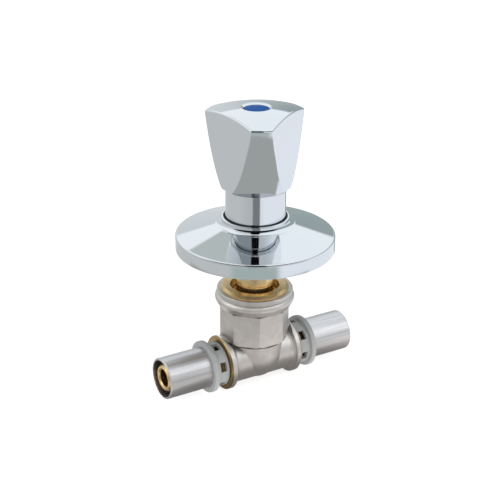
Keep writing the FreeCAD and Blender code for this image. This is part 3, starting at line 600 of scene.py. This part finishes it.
surround = addNode(tree, "ShaderNodeMix", {
    "data_type": "RGBA", 6: toLinear(room["left"]), 7: toLinear(room["right"]),
}, {0: rightward.outputs["Result"]})
painted = paintZones(tree, surround.outputs[2], room["zones"], roomMeasures)
reflected = addNode(tree, "ShaderNodeBackground", {"Strength": room["strength"]},
                    {"Color": painted})
ambient = addNode(tree, "ShaderNodeBackground", {"Color": white, "Strength": room["ambient"]})
paper = addNode(tree, "ShaderNodeBackground", {"Color": white, "Strength": 1.0})
shiny = addNode(tree, "ShaderNodeMath", {"operation": "MAXIMUM"},
                {0: ray.outputs["Is Glossy Ray"], 1: ray.outputs["Is Transmission Ray"]})
lit = addNode(tree, "ShaderNodeMixShader", links={
    0: shiny.outputs["Value"], 1: ambient.outputs["Background"],
    2: reflected.outputs["Background"],
})
seen = addNode(tree, "ShaderNodeMixShader", links={
    0: ray.outputs["Is Camera Ray"], 1: lit.outputs["Shader"], 2: paper.outputs["Background"],
})
addNode(tree, "ShaderNodeOutputWorld", links={"Surface": seen.outputs["Shader"]})


def addSquare(name, half, height, material):
    # level, half its side in mm each way from the spindle's axis
    corners = [(x * half * mm, y * half * mm, height)
               for x, y in ((-1, -1), (1, -1), (1, 1), (-1, 1))]
    mesh = bpy.data.meshes.new(name)
    mesh.from_pydata(corners, [], [(0, 1, 2, 3)])
    mesh.materials.append(material)
    square = bpy.data.objects.new(name, mesh)
    scene.collection.objects.link(square)
    return square


# The floor is white paper: to the camera it is as bright as the backdrop, less its shadow.
floorLook = {
    "half": 3000.0,             # mm
    "drop": 0.2,                # mm below the lowest piece
    "roughness": 0.9,
    "glow": 0.66,
}
floorHeight = cadBox[0][2] - floorLook["drop"] * mm
floorPaint = startMaterial("whitePaper", {
    "Base Color": white, "Roughness": floorLook["roughness"], "Specular IOR Level": 0.0,
    "Emission Color": white, "Emission Strength": floorLook["glow"],
})[0]
floor = addSquare("floor", floorLook["half"], floorHeight, floorPaint)
floor.visible_glossy = False

# A painted sheet under the floor that only the metal sees: cool on the right, grey on the
# left. Round the pipe it is warmer, with a dark oval right below the pipe that is painted
# shadow, and a bright piece beside that, a painted highlight for the foot of the tee on the
# left. Towards the camera lie a near and a middle grey, which the handle and the cover plate's
# rim show, and past them a dark lane with a grey side, which the tube shows.
sheetLook = {
    "half": 1500.0,             # mm
    "drop": 1.0,                # mm below the floor
    "left": "#B6B8B8", "right": "#DADEE4",
    "change": (-0.05, 0.12),    # metres sideways, where left goes into right
    "oval": (62.0, 29.0),       # mm, half the length and width of what fromPipe calls 1
    "zones": {                  # away is in mm from the spindle's axis, sideways in metres
        "leftBack": ("#C3C8CA", [("aside", 146.0, 5.0)]),
        "rightBack": ("#8F9A9B", [("aside", 146.0, 5.0), ("sideways", 0.0, 0.05)]),
        "innerLeft": ("#A3A19F", [("away", 84.0, -8.0)]),
        "innerRight": ("#E2DFDC", [("away", 84.0, -8.0), ("sideways", 0.01, 0.02)]),
        # painted shadow of the floor below the pipe, seen only in the metal
        "under": ("#7B7A79", [("fromPipe", 1.0, -0.35)]),
        # painted highlight that the left sleeve and the foot of the tee reflect
        "footLeft": ("#DCDBDA", [("fromPipe", 1.65, -0.15), ("fromPipe", 0.975, 0.125),
                                 ("sideways", 0.002, -0.008)]),
        "near": ("#989A99", [("away", 172.0, -3.0), ("away", 84.0, 8.0),
                             ("bearing", -96.0, 6.0), ("bearing", 74.0, -6.0)]),
        "middle": ("#9EA9A7", [("away", 191.0, -4.0), ("away", 172.0, 3.0),
                               ("aside", 30.0, -6.0)]),
        "laneSide": ("#ABAEAF", [("away", 191.0, 4.0), ("bearing", -40.0, 30.0),
                                 ("bearing", 0.0, -4.0)]),
        "lane": ("#737577", [("away", 191.0, 4.0), ("bearing", -10.0, 3.0),
                             ("bearing", 16.0, -3.0)]),
    },
}
sheetPaint = bpy.data.materials.new("paintedSheet")
tree = startTree(sheetPaint)
place = addNode(tree, "ShaderNodeTexCoord").outputs["Object"]
spot, sheetMeasures = measureRound(tree, place)
flat = addNode(tree, "ShaderNodeCombineXYZ", links={
    "X": spot.outputs["X"], "Y": spot.outputs["Y"],
})
metres = addNode(tree, "ShaderNodeVectorMath", {"operation": "LENGTH"},
                 {0: flat.outputs["Vector"]})
away = addNode(tree, "ShaderNodeMath", {"operation": "DIVIDE", 1: mm},
               {0: metres.outputs["Value"]})
oval = addNode(tree, "ShaderNodeVectorMath", {
    "operation": "MULTIPLY",
    1: (scaleFor(sheetLook["oval"][0]), scaleFor(sheetLook["oval"][1]), 0),
}, {0: place})
fromPipe = addNode(tree, "ShaderNodeVectorMath", {"operation": "LENGTH"},
                   {0: oval.outputs["Vector"]})
sheetMeasures.update({"away": away.outputs["Value"], "fromPipe": fromPipe.outputs["Value"]})
rightward = addNode(tree, "ShaderNodeMapRange", {
    "From Min": sheetLook["change"][0], "From Max": sheetLook["change"][1],
}, {"Value": sheetMeasures["sideways"]})
ground = addNode(tree, "ShaderNodeMix", {
    "data_type": "RGBA", 6: toLinear(sheetLook["left"]), 7: toLinear(sheetLook["right"]),
}, {0: rightward.outputs["Result"]})
painted = paintZones(tree, ground.outputs[2], sheetLook["zones"], sheetMeasures)
glow = addNode(tree, "ShaderNodeEmission", {"Strength": room["strength"]}, {"Color": painted})
addNode(tree, "ShaderNodeOutputMaterial", links={"Surface": glow.outputs["Emission"]})
sheet = addSquare("floorSheet", sheetLook["half"], floorHeight - sheetLook["drop"] * mm,
                  sheetPaint)
sheet.visible_camera = False
sheet.visible_diffuse = False
sheet.visible_shadow = False

# Three soft lamps, one each side and one in front, a little above the object, in degrees, mm
# and watts. They light everything but the chrome, which shows the room alone, as behind a
# photographer's tent.
lampLook = {
    "leftLamp": {"bearing": -62.0, "height": 400.0, "away": 900.0, "size": 900.0, "power": 2.1},
    "rightLamp": {"bearing": 60.0, "height": 410.0, "away": 900.0, "size": 900.0, "power": 1.6},
    "frontLamp": {"bearing": 2.0, "height": 430.0, "away": 1000.0, "size": 1000.0, "power": 2.4},
}
litByLamps = bpy.data.collections.new("litByLamps")
litByLamps.objects.link(floor)
for nodeName, node in nodes.items():
    if nodeName not in chromed:
        litByLamps.objects.link(node)
for name, lamp in lampLook.items():
    lampData = bpy.data.lights.new(name, "AREA")
    lampData.size = lamp["size"] * mm
    lampData.energy = lamp["power"]
    lampObject = bpy.data.objects.new(name, lampData)
    turn = front + math.radians(lamp["bearing"])
    lampObject.location = (math.cos(turn) * lamp["away"] * mm, math.sin(turn) * lamp["away"] * mm,
                           lamp["height"] * mm)
    lampObject.rotation_euler = (-lampObject.location).to_track_quat("-Z", "Y").to_euler()
    lampObject.light_linking.receiver_collection = litByLamps
    scene.collection.objects.link(lampObject)
print("studio done")
